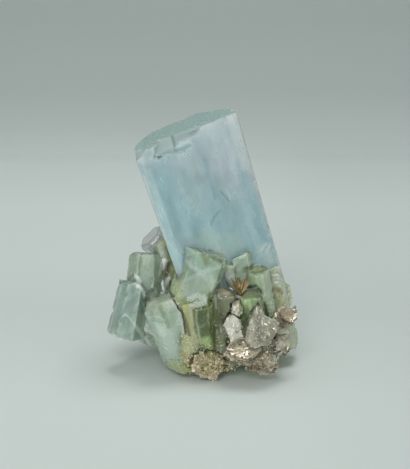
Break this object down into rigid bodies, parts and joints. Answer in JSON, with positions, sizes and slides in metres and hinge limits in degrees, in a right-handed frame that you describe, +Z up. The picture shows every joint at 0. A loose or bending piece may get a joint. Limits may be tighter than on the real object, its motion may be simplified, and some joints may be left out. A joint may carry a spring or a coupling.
{
  "type": "aquamarine crystal specimen",
  "caption": "Tall blue aquamarine prism leaning out of a cluster of small green beryl crystals with mica books, resting on a small flat.",
  "frame": {"origin": "middle of the specimen's bounding box at the flat it rests on", "axes": "+Z up, +X to the right of the mica side's viewer, +Y away from that viewer; the tall prism leans towards -X"},
  "size_m": [0.0433, 0.0358, 0.0577],
  "materials": {
    "aquamarine": "hazy pale blue transparent beryl with bright flat faces",
    "green_beryl": "translucent green to mint beryl with bright flat faces",
    "clear_beryl": "nearly colourless transparent beryl",
    "mica": "silvery brown pearly muscovite sheets",
    "albite": "matt cream and rusty grains",
    "rusty_mica": "rust-brown flaky blades"
  },
  "bodies": {
    "root": {"aquamarine_crystal": "aquamarine", "green_beryl_cluster": "green_beryl", "clear_crystal": "clear_beryl", "mica_books": "mica", "albite_crust": "albite", "rusty_spray": "rusty_mica"}
  },
  "joints": []
}
